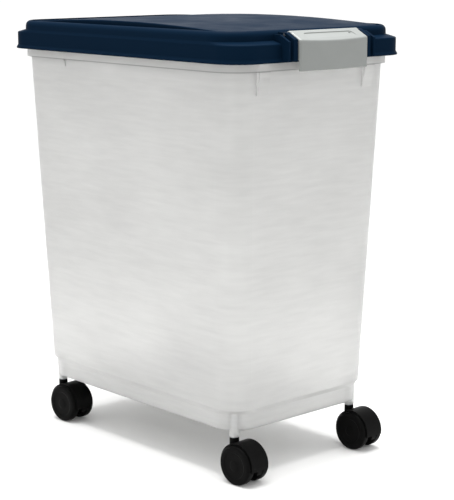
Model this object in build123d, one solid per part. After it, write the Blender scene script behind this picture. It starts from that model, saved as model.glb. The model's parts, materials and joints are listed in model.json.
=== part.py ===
from build123d import *
import math
import os

# Driving dimensions in millimetres. X is the width, -Y the front with the latch, Z is up.

# Casters
wheel_radius = 23.0
wheel_outer_x = 17.2
wheel_edge_round = 3.0
rim_inner_x = 6.3
rim_thickness = 3.7
hub_radius = 5.5
hub_gap = 0.4
wheel_disc = 2.4
disc_recess_radius = 15.5
disc_recess = 0.5
axle_radius = 2.5
axle_end_gap = 0.2
snap_depth = 0.3
snap_width = 1.2
snap_gap = 0.1
stem_snap_height = 4.8
caster_trail = 15.9
caster_yaws = {"front_left": 3.0, "front_right": 2.5, "rear_left": 4.5, "rear_right": 1.0}
hood_gap = 0.8
hood_skin = 1.2
hood_half_width = 13.2
hood_web = 7.2
fender_bottom = 19.0
web_bottom = 14.0
neck_radius = 5.5
neck_top = 50.3
stem_radius = 4.0
stem_bottom = 26.5
stem_flange = 1.0
stem_end_chamfer = 1.0
swivel_gap = 0.2
running_gap = 0.05
ring_height = 5.6
ring_thickness = 1.0
ring_from_top = 4.4
ring_slot = 1.4
ring_gap = 0.02

# Caster sockets in the tub's corners
stem_from_side = 11.9
stem_from_end = 12.4
socket_drop = 6.8
socket_depth = 28.0
socket_bore_gap = 0.4
socket_foot_radius = 6.0
socket_post_radius = 6.9
socket_cap = 2.6

# Tub
tub_width = 250.2
tub_depth = 388.2
tub_wall = 2.5
tub_floor = 3.0
tub_draft = 2.25
tub_wall_height = 407.5
tub_corner_top = 29.5
tub_corner_bottom = 26.0
tub_bottom_round = 2.0
foot_step = 2.2
foot_corner = 31.0
foot_height = 19.5
foot_shoulder = 5.5
lip_reach = 5.0
lip_height = 17.0
lip_thickness = 2.2
lip_shelf = 2.5
rim_above_lip = 5.5

# Lugs and gussets under the rim
lug_from_side = 42.1
lug_width = 16.0
lug_height = 26.0
lug_face = 6.0
lug_foot = 1.2
lug_set_back = 0.01
gusset_y = 105.0
gusset_width = 2.4
gusset_height = 9.0
gusset_foot = 0.6

# Lid
lid_side_reach = 12.5
lid_end_reach = 16.5
lid_wall = 2.4
lip_show = 9.5
flange_height = 20.0
flange_corner = 32.0
skirt_bead = 1.8
skirt_bead_flat = 1.5
skirt_bead_height = 4.5
ledge_rise = 3.3
tier_inset_side = 1.4
tier_inset_end = 12.4
tier_corner = 36.0
tier_height = 11.0
tier_lean = 0.5
tier_edge_round = 6.5
flange_edge_round = 0.8
flange_top_round = 1.6
ridge_width = 5.5
groove_depth = 1.8
groove_width = 4.0
groove_end_width = 3.0
arch_height = 7.0
panel_corner = 26.0
panel_edge_round = 1.5

# Gasket and its channel under the lid
gasket_width = 5.8
gasket_height = 5.3
gasket_gap = 0.2
channel_side_gap = 0.2
channel_rib = 2.1
channel_overlap = 4.0

# Latch and its ears on the lid
latch_width = 107.0
latch_reach = 15.4
latch_bow = 3.3
latch_wall = 2.2
latch_flange_gap = 0.9
pivot_from_tier = 8.0
pivot_below_top = 5.2
pivot_radius = 4.2
latch_slope = 27.5
latch_pin_radius = 1.6
latch_pin_gap = 0.06
latch_corner_round = 3.0
latch_top_round = 2.6
latch_foot_round = 0.9
latch_barrel_round = 1.2
latch_recess_half = 38.5
latch_recess_back = 3.7
latch_recess_width = 10.0
latch_recess_depth = 0.9
latch_recess_corner = 5.0
latch_dimple_x = 33.0
latch_dimple_radius = 1.4
latch_dimple_depth = 0.4
hook_half_width = 28.0
cheek_above_skirt = 2.5
hook_thickness = 2.5
hook_gap = 0.3
catch_height = 2.9
catch_side_gap = 2.0
latch_rib = 1.8
latch_rib_places = (-24.0, 0.0, 24.0)
ear_gap = 1.0
inner_ear = 6.0
ear_space = 5.0
outer_ear = 3.0
ear_front = 9.4
ear_foot = 1.5
ear_drop = 0.8
outer_ear_drop = 3.0
ear_pin_gap = 0.02
pin_end = 0.6

# Rear hinge
hinge_from_side = 50.1
hinge_reach = 9.9
barrel_radius = 5.5
hinge_z_above_skirt = 7.0
knuckle_width = 20.0
knuckle_web = 7.0
hinge_ear = 5.0
hinge_side_gap = 0.4
hinge_pin_radius = 2.5
hinge_pin_gap = 0.07
hinge_ear_gap = 0.02
hinge_head_radius = 3.8
hinge_head = 1.5
lid_stop_angle = 110.0
arm_skirt_gap = 1.8
arm_foot = 2.0
arm_throat = 9.0
arm_depth = 22.0

# How far a cutting shape runs past the face that it cuts
over = 1.0

# Heights that follow from the sizes above
socket_foot_z = neck_top + swivel_gap + stem_flange
tub_base_z = socket_foot_z + socket_drop
socket_end_z = socket_foot_z + socket_depth
socket_top_z = socket_end_z + socket_cap
lip_bottom_z = tub_base_z + tub_wall_height
lip_top_z = lip_bottom_z + lip_height
tub_top_z = lip_top_z + rim_above_lip
skirt_z = lip_bottom_z + lip_show
flange_top_z = skirt_z + flange_height
tier_foot_z = flange_top_z + ledge_rise
tier_top_z = tier_foot_z + tier_height
groove_z = tier_top_z - groove_depth
gasket_z = tub_top_z + gasket_gap
channel_z = gasket_z + gasket_height

# The lid reaches past the tub all round, and its steps draw in from there
lid_x = tub_width / 2 + lid_side_reach
lid_y = tub_depth / 2 + lid_end_reach
flange_x = lid_x - skirt_bead
flange_y = lid_y - skirt_bead
tier_x = flange_x - tier_inset_side
tier_y = flange_y - tier_inset_end
groove_x = tier_x - tier_lean - ridge_width
groove_y = tier_y - tier_lean - ridge_width
panel_x = groove_x - groove_width
panel_y = groove_y - groove_end_width
panel_top_z = groove_z + arch_height
panel_radius = (panel_y ** 2 + arch_height ** 2) / (2 * arch_height)

# Axes of the moving parts
hinge_centre_x = tub_width / 2 - hinge_from_side
hinge_y = lid_y + hinge_reach
latch_front_y = -(lid_y + latch_reach)
hinge_z = skirt_z + hinge_z_above_skirt
pivot_y = -(tier_y + pivot_from_tier)
pivot_z = tier_top_z - pivot_below_top
catch_z = lip_bottom_z + catch_height
hook_top_z = catch_z - hook_gap
hook_bottom_z = hook_top_z - hook_thickness
tangent_y = pivot_y - pivot_radius * math.sin(math.radians(latch_slope))

SIDES = {"left": -1, "right": 1}
CORNERS = {"front_left": (-1, -1), "front_right": (1, -1), "rear_left": (-1, 1), "rear_right": (1, 1)}


# Basic shapes
def box(x0, x1, y0, y1, z0, z1):
    centre = Pos((x0 + x1) / 2, (y0 + y1) / 2, (z0 + z1) / 2)
    return centre * Box(x1 - x0, y1 - y0, z1 - z0)


def post(radius, z0, z1, x=0.0, y=0.0):
    return Pos(x, y, (z0 + z1) / 2) * Cylinder(radius, z1 - z0)


def rod(radius, x0, x1, y, z):
    return Pos((x0 + x1) / 2, y, z) * Rot(0, 90, 0) * Cylinder(radius, x1 - x0)


def outline(half_x, half_y, corner, z):
    return Pos(0, 0, z) * RectangleRounded(2 * half_x, 2 * half_y, corner)


def slab(half_x, half_y, corner, z0, z1):
    return extrude(outline(half_x, half_y, corner, z0), amount=z1 - z0)


def tapered(low, high):
    return loft([outline(*low), outline(*high)], ruled=True)


def frame_ring(half_x, half_y, corner, width, z0, z1):
    outer = slab(half_x, half_y, corner, z0, z1)
    return outer - slab(half_x - width, half_y - width, corner - width, z0 - over, z1 + over)


# A plate with its outline in the YZ plane, from x0 to x1
def side_plate(points, x0, x1):
    face = make_face(Plane.YZ.offset(x0) * Polyline(*points, close=True))
    return extrude(face, amount=x1 - x0, dir=(1, 0, 0))


def both_sides(shape):
    return shape + mirror(shape, about=Plane.YZ)


# Half sizes, corner radius and height of the tub's outer wall
def tub_section(z, inset=0.0):
    grow = math.tan(math.radians(tub_draft)) * (z - lip_bottom_z)
    share = (z - tub_base_z) / (tub_top_z - tub_base_z)
    corner = tub_corner_bottom + (tub_corner_top - tub_corner_bottom) * share
    return (tub_width / 2 + grow - inset, tub_depth / 2 + grow - inset, corner - inset, z)


# The same at the tub's foot, which steps in all round above the casters
def foot_section(z, inset=0.0):
    half_x, half_y, _, _ = tub_section(z, foot_step + inset)
    return (half_x, half_y, foot_corner - inset, z)


# Height of the latch's sloping top, which is tangent to the pivot barrel
def latch_top_z(y):
    slope = math.radians(latch_slope)
    return pivot_z + pivot_radius * math.cos(slope) - math.tan(slope) * (tangent_y - y)


# Lip outline, shared by the rim lip and the latch's catch
lip_x = tub_width / 2 + lip_reach
lip_y = tub_depth / 2 + lip_reach
lip_corner = tub_corner_top + lip_reach


# Axis of each caster's stem, set in from the faces of the tub's foot
def stem_place(corner):
    sx, sy = CORNERS[corner]
    half_x, half_y, _, _ = foot_section(tub_base_z)
    return sx * (half_x - stem_from_side), sy * (half_y - stem_from_end)


def corner_places():
    return [stem_place(corner) for corner in CORNERS]


# Socket of a caster: a tube that widens up into the tub's floor, and an upright post inside
def socket_tube(x, y):
    height = socket_top_z - socket_foot_z
    return Pos(x, y, socket_foot_z + height / 2) * Cone(socket_foot_radius, socket_post_radius, height)


def socket_post(x, y):
    return post(socket_post_radius, tub_base_z + tub_floor / 2, socket_top_z, x, y)


# Solid lug under the rim lip at the front
def front_lug(side):
    wall_y = tub_section(lip_bottom_z - lug_height)[1]
    face_y = lip_y - lug_set_back
    points = [
        (tub_wall - tub_depth / 2, lip_top_z - lip_shelf),
        (-face_y, lip_top_z - lip_shelf),
        (-face_y, lip_bottom_z - lug_face),
        (-wall_y - lug_foot, lip_bottom_z - lug_height),
        (tub_wall / 2 - wall_y, lip_bottom_z - lug_height),
    ]
    centre = side * (tub_width / 2 - lug_from_side)
    return side_plate(points, centre - lug_width / 2, centre + lug_width / 2)


# A thin gusset between the lip and the wall on each long side
def side_gussets():
    wall_x = tub_section(lip_bottom_z - gusset_height)[0]
    inside_lip = lip_x - lip_thickness / 2
    points = [
        (wall_x - tub_wall / 2, lip_bottom_z - gusset_height),
        (wall_x + gusset_foot, lip_bottom_z - gusset_height),
        (inside_lip, lip_bottom_z + lip_thickness),
        (inside_lip, lip_top_z - lip_shelf / 2),
        (wall_x - tub_wall / 2, lip_top_z - lip_shelf / 2),
    ]
    face = make_face(Plane.XZ.offset(-gusset_y - gusset_width / 2) * Polyline(*points, close=True))
    return both_sides(extrude(face, amount=gusset_width, dir=(0, -1, 0)))


# Tub's half of the rear hinge: an arm below the skirt that rises to an eye. Its outer top corner
# is the heel that the flange meets at the lid's stop angle.
def hinge_arm(x0, x1):
    inner = hinge_y - barrel_radius
    outer = hinge_y + barrel_radius
    arm_top = skirt_z - arm_skirt_gap
    stop = math.radians(lid_stop_angle)
    heel = (hinge_y - flange_y + barrel_radius * math.cos(stop)) / math.sin(stop)
    wall_y = tub_section(arm_top - arm_depth)[1]
    points = [
        (wall_y - tub_wall / 2, arm_top - arm_depth),
        (wall_y + arm_foot, arm_top - arm_depth),
        (outer, hinge_z - arm_throat),
        (outer, hinge_z + heel),
        (hinge_y, hinge_z + heel),
        (inner, hinge_z + barrel_radius),
        (inner, arm_top),
        (wall_y - tub_wall / 2, arm_top),
    ]
    return side_plate(points, x0, x1)


def hinge_ear_spans(side):
    centre = side * hinge_centre_x
    near = knuckle_width / 2 + hinge_side_gap
    return [(centre - near - hinge_ear, centre - near), (centre + near, centre + near + hinge_ear)]


# The tub's form, or the hollow drawn in by a wall: foot, sloping shoulder and tall wall
def tub_form(low_z, high_z, inset):
    foot_top_z = tub_base_z + foot_height
    shoulder_z = foot_top_z + foot_shoulder
    foot = tapered(foot_section(low_z, inset), foot_section(foot_top_z, inset))
    shoulder = tapered(foot_section(foot_top_z, inset), tub_section(shoulder_z, inset))
    return foot + shoulder + tapered(tub_section(shoulder_z, inset), tub_section(high_z, inset))


def tub_outside():
    form = tub_form(tub_base_z, tub_top_z, 0.0)
    form = fillet(form.edges().group_by(Axis.Z)[0], tub_bottom_round)
    shelf = slab(lip_x, lip_y, lip_corner, lip_top_z - lip_shelf, lip_top_z)
    lip = frame_ring(lip_x, lip_y, lip_corner, lip_thickness, lip_bottom_z, lip_top_z - lip_shelf / 2)
    return form + shelf + lip


def tub_inside():
    hollow = tub_form(tub_base_z + tub_floor, tub_top_z + over, tub_wall)
    for x, y in corner_places():
        hollow -= socket_post(x, y)
    return hollow


def make_tub():
    body = tub_outside()
    for x, y in corner_places():
        body += socket_tube(x, y)
    for side in SIDES.values():
        body += front_lug(side)
        for x0, x1 in hinge_ear_spans(side):
            body += hinge_arm(x0, x1)
    body += side_gussets()
    body -= tub_inside()
    for x, y in corner_places():
        body -= post(stem_radius + socket_bore_gap, socket_foot_z - over, socket_end_z, x, y)
    catch_x = hook_half_width + catch_side_gap
    body -= box(
        -catch_x, catch_x, -lip_y - over, -lip_y + lip_thickness + over, lip_bottom_z - over, catch_z
    )
    pin_hole = hinge_pin_radius + hinge_ear_gap
    return body - rod(pin_hole, -flange_x, flange_x, hinge_y, hinge_z)


# Panel arched from front to rear: the outer skin with no inset, or the hollow under it
def arched_panel(inset, base_z):
    top = panel_top_z - inset
    reach = panel_y + over
    end = top - panel_radius + math.sqrt(panel_radius ** 2 - reach ** 2)
    low = base_z - over
    plane = Plane.YZ.offset(-panel_x - over)
    arc = plane * ThreePointArc((-reach, end), (0, top), (reach, end))
    sides = plane * Polyline((reach, end), (reach, low), (-reach, low), (-reach, end))
    block = extrude(make_face([arc, sides]), amount=2 * (panel_x + over), dir=(1, 0, 0))
    return block & slab(panel_x - inset, panel_y - inset, panel_corner - inset, base_z, top + over)


# Outline of one of the lid's steps, drawn in by a wall for the inside
def lid_step(half_x, half_y, corner, z, inset):
    return (half_x - inset, half_y - inset, corner - inset, z - inset)


def lid_steps(inset, low_z, top_z):
    flange_top = lid_step(flange_x, flange_y, flange_corner, flange_top_z, inset)
    tier_foot = lid_step(tier_x, tier_y, tier_corner, tier_foot_z, inset)
    flange = slab(*flange_top[:3], low_z, flange_top[3])
    lean = tier_lean + inset
    tier_top = (tier_x - lean, tier_y - lean, tier_corner - lean, top_z)
    return flange + tapered(flange_top, tier_foot), tapered(tier_foot, tier_top)


# Bead round the flange's lower edge, tapering into the wall
def make_skirt_bead():
    reach = (flange_x + skirt_bead, flange_y + skirt_bead, flange_corner + skirt_bead)
    flat_z = skirt_z + skirt_bead_flat
    band = slab(*reach, skirt_z, flat_z)
    top = (flange_x, flange_y, flange_corner, skirt_z + skirt_bead_height)
    return band + tapered((*reach, flat_z), top)


def make_lid():
    lower, tier = lid_steps(0.0, skirt_z, tier_top_z)
    shoulder = [edge for edge in lower.edges() if abs(edge.center().Z - flange_top_z) < flange_edge_round / 2]
    lower = fillet(shoulder, flange_top_round)
    lower += make_skirt_bead()
    lower = fillet(lower.edges().group_by(Axis.Z)[0], flange_edge_round)
    tier = fillet(tier.edges().group_by(Axis.Z)[-1], tier_edge_round)
    tier -= slab(groove_x, groove_y, tier_corner - ridge_width, groove_z, tier_top_z + over)
    panel = arched_panel(0.0, groove_z - lid_wall)
    panel = fillet(panel.faces().sort_by(Axis.Z)[-1].edges(), panel_edge_round)
    inside_lower, inside_tier = lid_steps(lid_wall, skirt_z - over, groove_z - lid_wall)
    inside_panel = arched_panel(lid_wall, groove_z - lid_wall - over)
    hollow = inside_lower + inside_tier + inside_panel - gasket_channel()
    shell = lower + tier + panel - hollow
    for side in SIDES.values():
        shell += hinge_knuckle(side)
    shell += both_sides(latch_ears())
    hole_end = latch_pin_half() + over
    return shell - rod(latch_pin_radius + ear_pin_gap, -hole_end, hole_end, pivot_y, pivot_z)


# Ring about the top of the tub's wall, reaching as far inwards and outwards as asked
def rim_ring(inwards, outwards, z0, z1):
    middle_x, middle_y, corner, _ = tub_section(tub_top_z, tub_wall / 2)
    width = inwards + outwards
    return frame_ring(middle_x + outwards, middle_y + outwards, corner + outwards, width, z0, z1)


# Channel for the gasket, hung from the lid's roof by its inner rib
def gasket_channel():
    near = gasket_width / 2 + channel_side_gap
    far = near + channel_rib
    low = channel_z - channel_overlap
    inner = rim_ring(far, -near, low, panel_top_z)
    web = rim_ring(far, far, channel_z, channel_z + channel_rib)
    outer = rim_ring(-near, far, low, channel_z + channel_rib)
    return inner + web + outer


# Rib beside the latch from x0 to x1, its top parallel to the latch's top and lower by the drop
def latch_ear(x0, x1, drop):
    back_y = lid_wall / 2 - tier_y
    front_y = -(lid_y + ear_front)
    face_y = lid_wall / 2 - flange_y
    points = [
        (back_y, latch_top_z(tangent_y) - drop),
        (tangent_y, latch_top_z(tangent_y) - drop),
        (front_y, latch_top_z(front_y) - drop),
        (front_y, skirt_z + ear_foot),
        (face_y, skirt_z + ear_foot),
        (face_y, flange_top_z - lid_wall / 2),
        (back_y, tier_foot_z - lid_wall / 2),
    ]
    return side_plate(points, x0, x1)


# The two ribs on the +X side: the inner one carries the latch's pin, the outer one is lower
def latch_ears():
    first = latch_width / 2 + ear_gap
    second = first + inner_ear + ear_space
    inner = latch_ear(first, first + inner_ear, ear_drop)
    return inner + latch_ear(second, second + outer_ear, outer_ear_drop)


def hinge_knuckle(side):
    centre = side * hinge_centre_x
    x0 = centre - knuckle_width / 2
    x1 = centre + knuckle_width / 2
    web_low = hinge_z - knuckle_web / 2
    web = box(x0, x1, flange_y - lid_wall / 2, hinge_y, web_low, web_low + knuckle_web)
    barrel = rod(barrel_radius, x0, x1, hinge_y, hinge_z)
    bore = rod(hinge_pin_radius + hinge_pin_gap, x0 - over, x1 + over, hinge_y, hinge_z)
    return web + barrel - bore


def make_gasket():
    return rim_ring(gasket_width / 2, gasket_width / 2, gasket_z, channel_z)


# Latch shell: front plate bowed in plan, top plate sloping up to the pivot barrel, cheeks between
def latch_block(inset):
    half = latch_width / 2 - inset
    front_y = latch_front_y + inset
    rise = inset / math.cos(math.radians(latch_slope))
    back_y = -(lid_y + latch_flange_gap)
    low_z = hook_bottom_z - over * (inset > 0)
    points = [
        (pivot_y, pivot_z),
        (tangent_y, latch_top_z(tangent_y) - rise),
        (front_y, latch_top_z(front_y) - rise),
        (front_y, low_z),
        (back_y, low_z),
        (back_y, flange_top_z + latch_flange_gap),
        (pivot_y, pivot_z - pivot_radius),
    ]
    block = side_plate(points, -half, half) & latch_bow_post(inset)
    front_edges = block.edges().filter_by(Axis.Z).group_by(Axis.Y)[0]
    return fillet(front_edges, latch_corner_round - inset)


# Upright cylinder whose face gives the latch's front its bow
def latch_bow_post(inset):
    radius = (latch_width ** 2 / 4 + latch_bow ** 2) / (2 * latch_bow)
    return post(radius - inset, hook_bottom_z - 2 * over, pivot_z + pivot_radius, 0, latch_front_y + radius)


# Edges of the latch's sloping top or of its foot, but for the ones behind the given depth
def rim_edges(face, behind_y):
    return [edge for edge in face.edges() if edge.center().Y < behind_y - over / 2]


# Finger recess in the latch's sloping top, deepest at its back, with a small dimple in its floor
def latch_recess():
    back_y = tangent_y - latch_recess_back
    front_y = back_y - latch_recess_width
    back_z = latch_top_z(back_y) - latch_recess_depth
    points = [
        (front_y, latch_top_z(front_y)),
        (back_y, back_z),
        (back_y, tier_top_z + over),
        (front_y, tier_top_z + over),
    ]
    recess = side_plate(points, -latch_recess_half, latch_recess_half)
    recess = fillet(recess.edges().filter_by(Axis.Z).group_by(Axis.Y)[-1], latch_recess_corner)
    dimple_y = back_y - 2 * latch_dimple_radius
    floor_z = latch_top_z(dimple_y) - latch_recess_depth - latch_dimple_depth
    return recess + post(latch_dimple_radius, floor_z, tier_top_z + over, latch_dimple_x, dimple_y)


def make_latch():
    half = latch_width / 2
    body = latch_block(0.0)
    slope = body.faces().sort_by(lambda face: face.normal_at().Z)[-1]
    body = fillet(rim_edges(slope, tangent_y), latch_top_round)
    foot = body.faces().sort_by(Axis.Z)[0]
    body = fillet(rim_edges(foot, -(lid_y + latch_flange_gap)), latch_foot_round)
    hollow = latch_block(latch_wall)
    for place in latch_rib_places:
        hollow -= box(
            place - latch_rib / 2, place + latch_rib / 2, latch_front_y, 0, hook_bottom_z, tier_top_z
        )
    body -= hollow
    plate_y = latch_front_y + latch_bow + latch_wall
    cheek_z = skirt_z + cheek_above_skirt
    body -= both_sides(box(hook_half_width, half + over, plate_y, 0, hook_bottom_z - over, cheek_z))
    barrel = rod(pivot_radius, -half, half, pivot_y, pivot_z)
    body += fillet(barrel.edges().filter_by(GeomType.CIRCLE), latch_barrel_round)
    hook_tip_y = -(lip_y + hook_gap)
    hook = box(-hook_half_width, hook_half_width, latch_front_y, hook_tip_y, hook_bottom_z, hook_top_z)
    body += hook & latch_bow_post(latch_wall / 2)
    body -= latch_recess()
    return body - rod(latch_pin_radius + latch_pin_gap, -half - over, half + over, pivot_y, pivot_z)


def latch_pin_half():
    return latch_width / 2 + ear_gap + inner_ear + pin_end


def make_latch_pin():
    return rod(latch_pin_radius, -latch_pin_half(), latch_pin_half(), pivot_y, pivot_z)


# Hinge pin with a head against the ear that faces away from the middle
def make_hinge_pin(side):
    (x0, _), (_, x1) = hinge_ear_spans(1)
    pin = rod(hinge_pin_radius, x0 - pin_end, x1, hinge_y, hinge_z)
    pin += rod(hinge_head_radius, x1, x1 + hinge_head, hinge_y, hinge_z)
    return pin if side > 0 else mirror(pin, about=Plane.YZ)


# Caster pieces, drawn about a stem on the Z axis with the wheels trailing towards -Y
axle_end_x = wheel_outer_x - wheel_disc - axle_end_gap
snap_x = axle_end_x - 2 * snap_width
wheel_y = -caster_trail
hood_radius = wheel_radius + hood_gap + hood_skin
ring_seat_radius = stem_radius + socket_bore_gap - ring_thickness - 2 * ring_gap


def make_hood():
    web = rod(hood_radius, -hood_web / 2, hood_web / 2, wheel_y, wheel_radius)
    web &= box(-neck_top, neck_top, -neck_top, neck_top, web_bottom, neck_top)
    fender = rod(hood_radius, -hood_half_width, hood_half_width, wheel_y, wheel_radius)
    room = hood_half_width + over
    fender -= rod(wheel_radius + hood_gap, -room, room, wheel_y, wheel_radius)
    fender &= box(-neck_top, neck_top, -neck_top, neck_top, fender_bottom, neck_top)
    hood = web + fender + post(neck_radius, web_bottom, neck_top)
    stem_hole = post(stem_radius + running_gap, stem_bottom - swivel_gap, neck_top + over)
    bead_z = stem_bottom + stem_snap_height
    bead_radius = stem_radius - snap_depth + snap_gap
    bead = tube_cut(bead_radius, bead_z + snap_gap, bead_z + snap_width - snap_gap)
    hood -= stem_hole - bead
    hood -= rod(axle_radius, -hood_web, hood_web, wheel_y, wheel_radius)
    return hood


def make_stem():
    top = socket_end_z - swivel_gap
    stem = post(stem_radius, stem_bottom, top)
    stem = chamfer(stem.edges().group_by(Axis.Z)[-1], stem_end_chamfer)
    stem += post(neck_radius, neck_top + swivel_gap, socket_foot_z)
    bead_z = stem_bottom + stem_snap_height
    stem -= tube_cut(stem_radius - snap_depth, bead_z, bead_z + snap_width)
    ring_top = top - ring_from_top
    stem -= tube_cut(ring_seat_radius, ring_top - ring_height, ring_top)
    return stem


def tube_cut(radius, z0, z1):
    return post(stem_radius + over, z0, z1) - post(radius, z0 - over, z1 + over)


# Split spring ring that grips the socket's bore
def make_grip_ring():
    top = socket_end_z - swivel_gap - ring_from_top - ring_gap
    low = top - ring_height + 2 * ring_gap
    outer = stem_radius + socket_bore_gap - ring_gap
    ring = post(outer, low, top)
    ring -= post(ring_seat_radius + ring_gap, low - over, top + over)
    return ring - box(-ring_slot / 2, ring_slot / 2, 0, outer + over, low - over, top + over)


def make_axle():
    axle = rod(axle_radius, -axle_end_x, axle_end_x, wheel_y, wheel_radius)
    for side in SIDES.values():
        x0, x1 = sorted((side * snap_x, side * (snap_x + snap_width)))
        groove = rod(axle_radius + over, x0, x1, wheel_y, wheel_radius)
        axle -= groove - rod(axle_radius - snap_depth, x0 - over, x1 + over, wheel_y, wheel_radius)
    return axle


# Wheel section in the plane of the axle: x along the axle, y the radius
def make_wheel(side):
    bore = axle_radius + running_gap
    bead = axle_radius - snap_depth + snap_gap
    disc_inner = wheel_outer_x - wheel_disc
    corner_x = wheel_outer_x - wheel_edge_round
    corner_r = wheel_radius - wheel_edge_round
    turn = math.sqrt(0.5)
    rounding = ThreePointArc(
        (corner_x, wheel_radius),
        (corner_x + wheel_edge_round * turn, corner_r + wheel_edge_round * turn),
        (wheel_outer_x, corner_r),
    )
    rest = Polyline(
        (wheel_outer_x, corner_r),
        (wheel_outer_x, disc_recess_radius),
        (wheel_outer_x - disc_recess, disc_recess_radius - disc_recess),
        (wheel_outer_x - disc_recess, 0),
        (disc_inner, 0),
        (disc_inner, bore),
        (snap_x + snap_width - snap_gap, bore),
        (snap_x + snap_width - snap_gap, bead),
        (snap_x + snap_gap, bead),
        (snap_x + snap_gap, bore),
        (hood_web / 2 + hub_gap, bore),
        (hood_web / 2 + hub_gap, hub_radius),
        (disc_inner, hub_radius),
        (disc_inner, wheel_radius - rim_thickness),
        (rim_inner_x, wheel_radius - rim_thickness),
        (rim_inner_x, wheel_radius),
        (corner_x, wheel_radius),
    )
    wheel = revolve(make_face([rounding, rest]), axis=Axis.X)
    wheel = Pos(0, wheel_y, wheel_radius) * wheel
    return wheel if side > 0 else mirror(wheel, about=Plane.YZ)


def place_caster(piece, corner):
    return Pos(*stem_place(corner), 0) * Rot(0, 0, caster_yaws[corner]) * piece


def write(name, shape):
    shape.label = name
    export_step(shape, "parts/" + name + ".step")


os.makedirs("parts", exist_ok=True)
write("tub", make_tub())
write("lid", make_lid())
write("lid_gasket", make_gasket())
write("latch", make_latch())
write("latch_pin", make_latch_pin())
for side_name, side in SIDES.items():
    write("hinge_pin_" + side_name, make_hinge_pin(side))
caster_pieces = {
    "stem": make_stem(),
    "grip_ring": make_grip_ring(),
    "hood": make_hood(),
    "axle": make_axle(),
    "wheel_left": make_wheel(-1),
    "wheel_right": make_wheel(1),
}
for corner in CORNERS:
    for piece_name, piece in caster_pieces.items():
        write("caster_" + corner + "_" + piece_name, place_caster(piece, corner))
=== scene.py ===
import json
import math

import bpy
from mathutils import Matrix, Vector


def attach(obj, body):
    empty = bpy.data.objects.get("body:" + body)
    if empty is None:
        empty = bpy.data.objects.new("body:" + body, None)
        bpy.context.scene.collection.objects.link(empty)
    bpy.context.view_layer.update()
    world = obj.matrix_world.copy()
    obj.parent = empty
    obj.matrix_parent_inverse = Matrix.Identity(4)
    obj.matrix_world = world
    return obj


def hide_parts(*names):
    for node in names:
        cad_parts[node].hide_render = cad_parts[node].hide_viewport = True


bl_info = {
    "name": "Pet Food Storage Container",
    "version": (1, 0, 0),
    "blender": (4, 5, 0),
    "location": "View3D > Sidebar > Food Bin",
    "description": "Models the wheels of a rolling food bin, finishes its parts and sets up its studio",
    "category": "Object",
}

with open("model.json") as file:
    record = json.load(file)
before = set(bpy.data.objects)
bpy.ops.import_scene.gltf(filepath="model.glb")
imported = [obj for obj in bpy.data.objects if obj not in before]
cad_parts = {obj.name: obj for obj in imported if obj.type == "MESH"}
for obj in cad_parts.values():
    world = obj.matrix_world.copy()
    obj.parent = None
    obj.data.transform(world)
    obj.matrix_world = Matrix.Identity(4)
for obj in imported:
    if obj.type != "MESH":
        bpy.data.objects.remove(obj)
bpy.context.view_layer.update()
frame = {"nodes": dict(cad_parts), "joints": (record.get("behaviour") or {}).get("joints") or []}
MM = 0.001
CORNERS = ("front_left", "front_right", "rear_left", "rear_right")
SIDES = {"left": -1, "right": 1}


def joint(name):
    return next(found for found in frame["joints"] if found["name"] == name)


# The rim lip's lower edge lies this far under the lid's hinge, and the painted shadow line under it is this
# thick
LIP_LOW = joint("lid_open")["pos_m"][2] - 16.5 * MM
LIP_SHADOW_LINE = 1.2 * MM
# The tub's colour is lightened by the gain at the lower height and by nothing at the upper one. This is
# painted light, standing in for light from the floor.
PAINTED_LIGHT_LOW = 60 * MM
PAINTED_LIGHT_HIGH = 220 * MM
PAINTED_LIGHT_GAIN = 0.3
# Wheels: facets round the tread, steps of its shoulders, and the small round on edges that are sharp
WHEEL_FACETS = 96
SHOULDER_STEPS = 5
EDGE_ROUND = 0.25 * MM
SHARP_ANGLE = math.radians(30)
SMOOTH_ANGLE = math.radians(35)
# An end face has at least this much of X in its normal, and level points differ by less than this in X
END_FACE = 0.9
LEVEL = 0.001 * MM
# Studio, in metres
FLOOR_SIZE = 80.0
OVERHEAD_PLACE = (0.0, 0.0, 1.35)
OVERHEAD_SIZE = 0.9
SIDE_PLACES = {"left": (-1.7, -0.7, 0.45), "right": (1.3, -1.7, 0.45)}
SIDE_SIZE = 1.2
LIGHT_AIM = Vector((0, 0, 0.25))
VIEW_END = 50.0
# Sensor width in millimetres
SENSOR_WIDTH = 36.0


def linear(code):
    """Linear colour of an sRGB hex value."""
    parts = [int(code[i:i + 2], 16) / 255 for i in (1, 3, 5)]
    return tuple(p / 12.92 if p <= 0.04045 else ((p + 0.055) / 1.055) ** 2.4 for p in parts)


def colour(name, code, description):
    return bpy.props.FloatVectorProperty(
        name=name, description=description, subtype="COLOR", size=3, min=0, max=1, default=linear(code)
    )


def length(name, millimetres, description):
    return bpy.props.FloatProperty(
        name=name, description=description, subtype="DISTANCE", unit="LENGTH", min=0, default=millimetres * MM
    )


class FoodBinColours(bpy.types.PropertyGroup):
    tub: colour("Tub", "#e4e4e3", "Frosted polypropylene of the tub")
    lid: colour("Lid", "#071625", "Navy polypropylene of the lid")
    latch: colour("Latch", "#6f7270", "Grey plastic of the latch")
    caster: colour("Casters", "#080808", "Black nylon of the wheels and hoods")
    steel: colour("Steel", "#b9bbbd", "Plated steel of the stems and pins")
    seal: colour("Seal", "#c9c9c4", "Soft seal in the lid")
    floor: colour("Floor", "#f0f0ef", "Pale floor of the studio")


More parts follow.
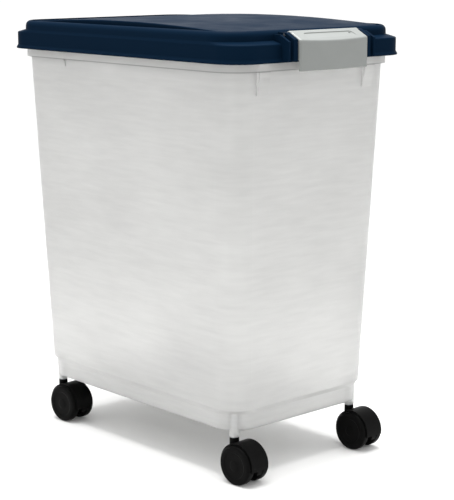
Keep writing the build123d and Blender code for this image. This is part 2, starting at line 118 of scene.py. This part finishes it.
class FoodBinWheel(bpy.types.PropertyGroup):
    radius: length("Radius", 23.0, "Outer radius of the tread")
    outer: length("Outer face", 17.2, "Distance of the outer face from the caster's middle")
    inner: length("Inner face", 6.3, "Distance of the rim's inner face from the caster's middle")
    shoulder: length("Shoulder", 3.0, "Rounding of the tread's edges")
    rim: length("Rim", 3.7, "Thickness of the rim under the tread")
    disc: length("Disc", 2.4, "Thickness of the disc between rim and hub")
    recess_radius: length("Recess radius", 15.5, "Radius of the shallow recess in the disc")
    recess_depth: length("Recess depth", 0.5, "Depth of the shallow recess in the disc")
    hub_radius: length("Hub radius", 5.5, "Outer radius of the hub")
    hub_inner: length("Hub end", 4.0, "Distance of the hub's inner end from the caster's middle")
    bore: length("Bore", 2.55, "Radius of the bore for the axle")
    cap_radius: length("Cap radius", 6.2, "Radius of the raised cap in the middle of the disc")
    cap_rise: length("Cap rise", 0.35, "Height of the raised cap")


class FoodBinStudio(bpy.types.PropertyGroup):
    camera_azimuth: bpy.props.FloatProperty(
        name="Azimuth", description="Camera's direction about the bin, from the front", subtype="ANGLE",
        default=math.radians(-42.32)
    )
    camera_height: bpy.props.FloatProperty(
        name="Elevation", description="Camera's angle above the floor", subtype="ANGLE",
        default=math.radians(11.13)
    )
    camera_distance: length("Distance", 1922.8, "Camera's distance from what it looks at")
    camera_target: bpy.props.FloatVectorProperty(
        name="Target", description="Point that the camera looks at", subtype="TRANSLATION", unit="LENGTH",
        size=3, default=(0.04254, 0.0, 0.22498)
    )
    lens: bpy.props.FloatProperty(
        name="Lens", description="Focal length for a 36 mm sensor", subtype="DISTANCE_CAMERA", default=110.4
    )
    key_power: bpy.props.FloatProperty(
        name="Overhead", description="Power of the overhead softbox", subtype="POWER", default=27.0
    )
    side_power: bpy.props.FloatProperty(
        name="Sides", description="Power of each side softbox", subtype="POWER", default=3.0
    )
    surround: bpy.props.FloatProperty(
        name="Surround", description="Brightness of the white studio walls", min=0, default=1.2
    )


def add_node(tree, kind, inputs=(), **settings):
    """A node with its settings, whose inputs are values or the sockets that feed them."""
    made = tree.nodes.new(kind)
    for name, value in settings.items():
        setattr(made, name, value)
    for name, value in dict(inputs).items():
        if isinstance(value, bpy.types.NodeSocket):
            tree.links.new(value, made.inputs[name])
        else:
            made.inputs[name].default_value = value
    return made


def new_material(name):
    material = bpy.data.materials.new(name)
    material.use_nodes = True
    material.node_tree.nodes.clear()
    return material, material.node_tree


def close_material(tree, surface):
    add_node(tree, "ShaderNodeOutputMaterial", {"Surface": surface.outputs[0]})


def rgba(value):
    return (*value, 1.0)


def shaded(value, factor):
    return tuple(min(1.0, part * factor) for part in value)


def per_size(millimetres):
    """Scale of a pattern whose features are that many millimetres across."""
    return 1 / (millimetres * MM)


def two_tones(tree, share, base, low, high, **settings):
    """Colour that goes from the base times low to the base times high as the share goes from 0 to 1."""
    tones = {"Factor": share, "A": rgba(shaded(base, low)), "B": rgba(shaded(base, high))}
    return add_node(tree, "ShaderNodeMix", tones, data_type="RGBA", **settings).outputs["Result"]


def moulded_skin(tree, place, size, depth, strength, detail=2.0):
    """Normal of a surface with a grain of that size and depth in millimetres."""
    grain = add_node(tree, "ShaderNodeTexNoise", {"Vector": place, "Scale": per_size(size), "Detail": detail})
    relief = {"Height": grain.outputs["Fac"], "Strength": strength, "Distance": depth * MM}
    return add_node(tree, "ShaderNodeBump", relief).outputs["Normal"]


def frosted_polypropylene(colours):
    """Natural polypropylene, moulded thin: cloudy, soft-edged and lit from within, with a painted shadow
    under the rim lip and painted light over its lower part.
    """
    material, tree = new_material("frosted_polypropylene")
    place = add_node(tree, "ShaderNodeTexCoord").outputs["Object"]
    height = add_node(tree, "ShaderNodeSeparateXYZ", {"Vector": place}).outputs["Z"]
    # Clouds in the wall's thickness are about 110 mm across
    clouds = add_node(
        tree, "ShaderNodeTexNoise", {"Vector": place, "Scale": per_size(110), "Detail": 3.0}
    ).outputs["Fac"]
    # Flow lines lie level, about 45 mm long, and are drawn 5 mm high, or they wouldn't show
    spread = (per_size(45), per_size(45), per_size(5))
    level = add_node(tree, "ShaderNodeMapping", {"Vector": place, "Scale": spread}).outputs["Vector"]
    flow = add_node(tree, "ShaderNodeTexNoise", {"Vector": level, "Scale": 1.0, "Detail": 5.0}).outputs["Fac"]
    # Painted light: the wall is lightened over its lower part, standing in for light bounced up from the
    # floor
    painted_light = add_node(
        tree, "ShaderNodeMapRange",
        {"Value": height, "From Min": PAINTED_LIGHT_LOW, "From Max": PAINTED_LIGHT_HIGH, "To Min": PAINTED_LIGHT_GAIN, "To Max": 0.0}
    ).outputs["Result"]
    mottle_and_light = add_node(tree, "ShaderNodeMath", {0: clouds, 1: flow}, operation="ADD").outputs["Value"]
    mottle_and_light = add_node(tree, "ShaderNodeMath", {0: mottle_and_light, 1: painted_light}, operation="ADD").outputs["Value"]
    share = add_node(
        tree, "ShaderNodeMapRange", {"Value": mottle_and_light, "From Min": 0.7, "From Max": 1.3}, clamp=False
    ).outputs["Result"]
    tint = two_tones(tree, share, colours.tub, 0.93, 1.07, clamp_factor=False)
    # Painted shadow: a thin dark line about 1 mm high under the rim lip stands in for the shade in the gap
    # between lip and wall
    away = add_node(tree, "ShaderNodeMath", {0: height, 1: LIP_LOW}, operation="SUBTRACT").outputs["Value"]
    near = add_node(tree, "ShaderNodeMath", {0: away}, operation="ABSOLUTE").outputs["Value"]
    edge = add_node(
        tree, "ShaderNodeMapRange",
        {"Value": near, "From Min": 0.0, "From Max": LIP_SHADOW_LINE, "To Min": 1.0, "To Max": 0.0}
    ).outputs["Result"]
    lip_shaded = {"Factor": edge, "A": tint, "B": rgba(shaded(colours.tub, 0.3))}
    surface = add_node(
        tree, "ShaderNodeBsdfPrincipled", {
            "Base Color": add_node(tree, "ShaderNodeMix", lip_shaded, data_type="RGBA").outputs["Result"],
            "Roughness": 0.3,
            "IOR": 1.49,
            "Subsurface Weight": 0.2,
            "Subsurface Radius": (1.0, 1.0, 1.0),
            "Subsurface Scale": 12 * MM,
            "Transmission Weight": 0.72,
            # Orange peel is 1 mm on the real wall and is drawn at 2.5 mm, or it wouldn't show
            "Normal": moulded_skin(tree, place, 2.5, 0.4, 0.12),
        }
    )
    close_material(tree, surface)
    return material


def navy_polypropylene(colours):
    """Pigmented polypropylene from a spark-eroded mould: a fine grain with a broad, waxy sheen."""
    material, tree = new_material("navy_polypropylene")
    place = add_node(tree, "ShaderNodeTexCoord").outputs["Object"]
    # Handling leaves patches about 45 mm across
    handling = add_node(
        tree, "ShaderNodeTexNoise", {"Vector": place, "Scale": per_size(45), "Detail": 4.0}
    ).outputs["Fac"]
    gloss = add_node(
        tree, "ShaderNodeMapRange",
        {"Value": handling, "From Min": 0.3, "From Max": 0.7, "To Min": 0.36, "To Max": 0.5}
    )
    surface = add_node(
        tree, "ShaderNodeBsdfPrincipled", {
            "Base Color": rgba(colours.lid),
            "Roughness": gloss.outputs["Result"],
            "IOR": 1.49,
            "Specular IOR Level": 0.005,
            "Specular Tint": (0.75, 0.88, 1.0, 1.0),
            # The grain is 0.4 mm on the real lid and is drawn at 1.5 mm, or it wouldn't show
            "Normal": moulded_skin(tree, place, 1.5, 0.3, 0.25),
        }
    )
    close_material(tree, surface)
    return material


def satin_latch_plastic(colours):
    """Moulded grey plastic with a satin face and faint flow marks."""
    material, tree = new_material("satin_latch_plastic")
    place = add_node(tree, "ShaderNodeTexCoord").outputs["Object"]
    # Flow marks curl over about 22 mm
    flow = add_node(
        tree, "ShaderNodeTexNoise", {"Vector": place, "Scale": per_size(22), "Detail": 3.0, "Distortion": 0.6}
    ).outputs["Fac"]
    surface = add_node(
        tree, "ShaderNodeBsdfPrincipled", {
            "Base Color": two_tones(tree, flow, colours.latch, 0.95, 1.04),
            "Roughness": 0.42,
            "IOR": 1.5,
            "Normal": moulded_skin(tree, place, 1.1, 0.2, 0.15, detail=1.0),
        }
    )
    close_material(tree, surface)
    return material


def black_nylon(colours):
    """Glass-filled nylon: black, with a dry sheen and a little floor dust in its grain."""
    material, tree = new_material("black_nylon")
    place = add_node(tree, "ShaderNodeTexCoord").outputs["Object"]
    # Dust gathers in specks about 6 mm across
    dust = add_node(
        tree, "ShaderNodeTexNoise", {"Vector": place, "Scale": per_size(6), "Detail": 4.0}
    ).outputs["Fac"]
    bump = add_node(tree, "ShaderNodeBump", {"Height": dust, "Strength": 0.2, "Distance": 0.3 * MM})
    surface = add_node(
        tree, "ShaderNodeBsdfPrincipled", {
            "Base Color": two_tones(tree, dust, colours.caster, 0.7, 1.5),
            "Roughness": 0.4,
            "IOR": 1.53,
            "Specular IOR Level": 0.03,
            "Normal": bump.outputs["Normal"],
        }
    )
    close_material(tree, surface)
    return material


def zinc_plated_steel(colours):
    """Turned steel with bright zinc plating, whose fine marks vary its gloss."""
    material, tree = new_material("zinc_plated_steel")
    place = add_node(tree, "ShaderNodeTexCoord").outputs["Object"]
    marks = add_node(
        tree, "ShaderNodeTexNoise", {"Vector": place, "Scale": per_size(1.4), "Detail": 2.0}
    ).outputs["Fac"]
    gloss = add_node(tree, "ShaderNodeMapRange", {"Value": marks, "To Min": 0.22, "To Max": 0.42})
    surface = add_node(
        tree, "ShaderNodeBsdfPrincipled", {
            "Base Color": rgba(colours.steel),
            "Metallic": 1.0,
            "Roughness": gloss.outputs["Result"],
        }
    )
    close_material(tree, surface)
    return material


def seal_elastomer(colours):
    """Extruded soft seal with a dull, slightly grippy skin."""
    material, tree = new_material("seal_elastomer")
    place = add_node(tree, "ShaderNodeTexCoord").outputs["Object"]
    surface = add_node(
        tree, "ShaderNodeBsdfPrincipled", {
            "Base Color": rgba(colours.seal),
            "Roughness": 0.7,
            "IOR": 1.5,
            "Normal": moulded_skin(tree, place, 2.0, 0.2, 0.15),
        }
    )
    close_material(tree, surface)
    return material


def paint(node_names, material):
    for name in node_names:
        piece = frame["nodes"][name]
        piece.data.materials.clear()
        piece.data.materials.append(material)


def caster_nodes(piece):
    return ["caster_" + corner + "_" + piece for corner in CORNERS]


def start_clean():
    if bpy.context.object and bpy.context.object.mode != "OBJECT":
        bpy.ops.object.mode_set(mode="OBJECT")
    bpy.ops.object.select_all(action="DESELECT")


def select_faces(piece, wanted):
    """Selects the faces of the mesh in edit mode for which the test of centre and normal holds."""
    bpy.ops.mesh.select_mode(type="FACE")
    bpy.ops.mesh.select_all(action="DESELECT")
    bpy.ops.object.mode_set(mode="OBJECT")
    for face in piece.data.polygons:
        face.select = wanted(face.center, face.normal)
    bpy.ops.object.mode_set(mode="EDIT")


def select_edges(piece, wanted):
    """Selects the edges of the mesh in edit mode for which the test of both ends holds."""
    bpy.ops.mesh.select_mode(type="EDGE")
    bpy.ops.mesh.select_all(action="DESELECT")
    bpy.ops.object.mode_set(mode="OBJECT")
    corners = piece.data.vertices
    for edge in piece.data.edges:
        edge.select = wanted(corners[edge.vertices[0]].co, corners[edge.vertices[1]].co)
    bpy.ops.object.mode_set(mode="EDIT")


def radius_of(point):
    return math.hypot(point.y, point.z)


def model_wheel(size):
    """One wheel about the X axis with its outer face towards +X, turned from a short cylinder."""
    start_clean()
    width = size.outer - size.inner
    bpy.ops.mesh.primitive_cylinder_add(
        vertices=WHEEL_FACETS, radius=size.radius, depth=width, end_fill_type="NGON",
        location=(size.inner + width / 2, 0, 0), rotation=(0, math.pi / 2, 0)
    )
    wheel = bpy.context.object
    bpy.ops.object.transform_apply(location=True, rotation=True, scale=True)
    bpy.ops.object.mode_set(mode="EDIT")
    # Outer face: rim, shallow recess and raised cap
    select_faces(wheel, lambda centre, normal: normal.x > END_FACE)
    bpy.ops.mesh.inset(thickness=size.radius - size.recess_radius)
    bpy.ops.mesh.inset(thickness=size.recess_depth, depth=-size.recess_depth)
    inside = size.recess_radius - size.recess_depth
    bpy.ops.mesh.inset(thickness=inside - size.cap_radius)
    bpy.ops.mesh.inset(thickness=size.cap_rise, depth=size.cap_rise)
    # Inner side: hollow behind the rim, with the hub standing in it
    select_faces(wheel, lambda centre, normal: normal.x < -END_FACE)
    bpy.ops.mesh.inset(thickness=size.rim)
    disc_face = size.outer - size.disc
    bpy.ops.mesh.extrude_region_move(TRANSFORM_OT_translate={"value": (disc_face - size.inner, 0, 0)})
    bpy.ops.mesh.inset(thickness=size.radius - size.rim - size.hub_radius)
    bpy.ops.mesh.extrude_region_move(TRANSFORM_OT_translate={"value": (size.hub_inner - disc_face, 0, 0)})
    bpy.ops.mesh.inset(thickness=size.hub_radius - size.bore)
    bpy.ops.mesh.extrude_region_move(TRANSFORM_OT_translate={"value": (disc_face - size.hub_inner, 0, 0)})
    # Rounded shoulders of the tread
    edge_radius = size.radius - size.shoulder / 4
    select_edges(
        wheel,
        lambda a, b: abs(a.x - b.x) < LEVEL and min(radius_of(a), radius_of(b)) > edge_radius
    )
    bpy.ops.mesh.bevel(offset=size.shoulder, segments=SHOULDER_STEPS, profile=0.5)
    bpy.ops.object.mode_set(mode="OBJECT")
    soften = wheel.modifiers.new("soften", "BEVEL")
    soften.width = EDGE_ROUND
    soften.segments = 2
    soften.limit_method = "ANGLE"
    soften.angle_limit = SHARP_ANGLE
    bpy.ops.object.modifier_apply(modifier=soften.name)
    bpy.ops.object.shade_smooth_by_angle(angle=SMOOTH_ANGLE)
    return wheel


def place_copy(model, name, matrix):
    """A copy of the model with a mesh of its own, moved there in its mesh."""
    piece = model.copy()
    piece.data = model.data.copy()
    piece.name = name
    bpy.context.scene.collection.objects.link(piece)
    piece.data.transform(matrix)
    if matrix.determinant() < 0:
        piece.data.flip_normals()
    return piece


class FOODBIN_OT_finish_tub(bpy.types.Operator):
    """Give the tub its frosted polypropylene"""
    bl_idname = "foodbin.finish_tub"
    bl_label = "Finish Tub"

    def execute(self, context):
        paint(["tub"], frosted_polypropylene(context.scene.food_bin_colours))
        return {"FINISHED"}


class FOODBIN_OT_finish_lid(bpy.types.Operator):
    """Give the lid its navy polypropylene and the gasket its soft seal"""
    bl_idname = "foodbin.finish_lid"
    bl_label = "Finish Lid"

    def execute(self, context):
        colours = context.scene.food_bin_colours
        paint(["lid"], navy_polypropylene(colours))
        paint(["lid_gasket"], seal_elastomer(colours))
        return {"FINISHED"}


class FOODBIN_OT_finish_latch(bpy.types.Operator):
    """Give the latch its satin grey plastic"""
    bl_idname = "foodbin.finish_latch"
    bl_label = "Finish Latch"

    def execute(self, context):
        paint(["latch"], satin_latch_plastic(context.scene.food_bin_colours))
        return {"FINISHED"}


class FOODBIN_OT_finish_steel(bpy.types.Operator):
    """Give the pins, stems, rings and axles their plated steel"""
    bl_idname = "foodbin.finish_steel"
    bl_label = "Finish Steel"

    def execute(self, context):
        names = ["latch_pin", "hinge_pin_left", "hinge_pin_right"]
        for piece in ("stem", "grip_ring", "axle"):
            names += caster_nodes(piece)
        paint(names, zinc_plated_steel(context.scene.food_bin_colours))
        return {"FINISHED"}


class FOODBIN_OT_build_casters(bpy.types.Operator):
    """Model the eight wheels and finish the casters in black nylon"""
    bl_idname = "foodbin.build_casters"
    bl_label = "Build Casters"

    def execute(self, context):
        nylon = black_nylon(context.scene.food_bin_colours)
        paint(caster_nodes("hood"), nylon)
        model = model_wheel(context.scene.food_bin_wheel)
        model.data.materials.append(nylon)
        for corner in CORNERS:
            for side_name, side in SIDES.items():
                node = "caster_" + corner + "_wheel_" + side_name
                spin = joint(node + "_spin")
                axis = Vector(spin["axis"])
                turn = Matrix.Rotation(math.atan2(axis.y, axis.x), 4, "Z")
                place = Matrix.Translation(spin["pos_m"]) @ turn @ Matrix.Diagonal((side, 1, 1, 1))
                wheel = place_copy(model, node.replace("wheel", "rolling_wheel"), place)
                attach(wheel, node)
                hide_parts(node)
        bpy.data.objects.remove(model)
        return {"FINISHED"}


class FOODBIN_OT_set_stage(bpy.types.Operator):
    """Set the pale floor, the soft studio light and the camera"""
    bl_idname = "foodbin.set_stage"
    bl_label = "Set Stage"

    def execute(self, context):
        start_clean()
        scene = context.scene
        studio = scene.food_bin_studio
        bpy.ops.mesh.primitive_plane_add(size=FLOOR_SIZE, location=(0, 0, 0))
        floor = context.object
        floor.name = "floor"
        material, tree = new_material("matte_floor")
        surface = add_node(
            tree, "ShaderNodeBsdfPrincipled",
            {"Base Color": rgba(scene.food_bin_colours.floor), "Roughness": 0.9}
        )
        close_material(tree, surface)
        floor.data.materials.append(material)
        self.add_softbox("overhead", OVERHEAD_PLACE, OVERHEAD_SIZE, studio.key_power)
        for name, place in SIDE_PLACES.items():
            self.add_softbox(name, place, SIDE_SIZE, studio.side_power)
        self.add_surround(scene, studio.surround)
        self.add_camera(scene, studio)
        scene.view_settings.view_transform = "Standard"
        return {"FINISHED"}

    def add_softbox(self, name, place, size, power):
        bpy.ops.object.light_add(type="AREA", location=place)
        light = bpy.context.object
        light.name = "softbox_" + name
        light.data.shape = "SQUARE"
        light.data.size = size
        light.data.energy = power
        aim = LIGHT_AIM - Vector(place)
        light.rotation_euler = aim.to_track_quat("-Z", "Y").to_euler()

    def add_surround(self, scene, strength):
        world = bpy.data.worlds.new("white_studio")
        world.use_nodes = True
        world.node_tree.nodes.clear()
        white = {"Color": (1, 1, 1, 1), "Strength": strength}
        glow = add_node(world.node_tree, "ShaderNodeBackground", white)
        add_node(world.node_tree, "ShaderNodeOutputWorld", {"Surface": glow.outputs[0]})
        scene.world = world

    def add_camera(self, scene, studio):
        target = Vector(studio.camera_target)
        level = math.cos(studio.camera_height)
        offset = Vector((
            math.sin(studio.camera_azimuth) * level,
            -math.cos(studio.camera_azimuth) * level,
            math.sin(studio.camera_height),
        ))
        bpy.ops.object.camera_add(location=target + offset * studio.camera_distance)
        camera = bpy.context.object
        camera.name = "camera"
        camera.rotation_euler = (-offset).to_track_quat("-Z", "Y").to_euler()
        camera.data.lens = studio.lens
        camera.data.sensor_width = SENSOR_WIDTH
        camera.data.clip_end = VIEW_END
        scene.camera = camera


OPERATORS = (
    FOODBIN_OT_finish_tub,
    FOODBIN_OT_finish_lid,
    FOODBIN_OT_finish_latch,
    FOODBIN_OT_finish_steel,
    FOODBIN_OT_build_casters,
    FOODBIN_OT_set_stage,
)


class FOODBIN_PT_panel(bpy.types.Panel):
    """Sizes, colours and steps of the rolling food bin"""
    bl_idname = "FOODBIN_PT_panel"
    bl_label = "Food Bin"
    bl_space_type = "VIEW_3D"
    bl_region_type = "UI"
    bl_category = "Food Bin"

    def draw(self, context):
        layout = self.layout
        for settings in (
            context.scene.food_bin_colours, context.scene.food_bin_wheel, context.scene.food_bin_studio
        ):
            box = layout.box()
            for name in settings.__annotations__:
                box.prop(settings, name)
        for operator in OPERATORS:
            layout.operator(operator.bl_idname)


CLASSES = (FoodBinColours, FoodBinWheel, FoodBinStudio, *OPERATORS, FOODBIN_PT_panel)


def register():
    for made in CLASSES:
        bpy.utils.register_class(made)
    bpy.types.Scene.food_bin_colours = bpy.props.PointerProperty(type=FoodBinColours)
    bpy.types.Scene.food_bin_wheel = bpy.props.PointerProperty(type=FoodBinWheel)
    bpy.types.Scene.food_bin_studio = bpy.props.PointerProperty(type=FoodBinStudio)


def unregister():
    del bpy.types.Scene.food_bin_studio
    del bpy.types.Scene.food_bin_wheel
    del bpy.types.Scene.food_bin_colours
    for made in reversed(CLASSES):
        bpy.utils.unregister_class(made)


def main():
    register()
    bpy.ops.foodbin.finish_tub()
    bpy.ops.foodbin.finish_lid()
    bpy.ops.foodbin.finish_latch()
    bpy.ops.foodbin.finish_steel()
    bpy.ops.foodbin.build_casters()
    bpy.ops.foodbin.set_stage()


if __name__ == "__main__":
    main()
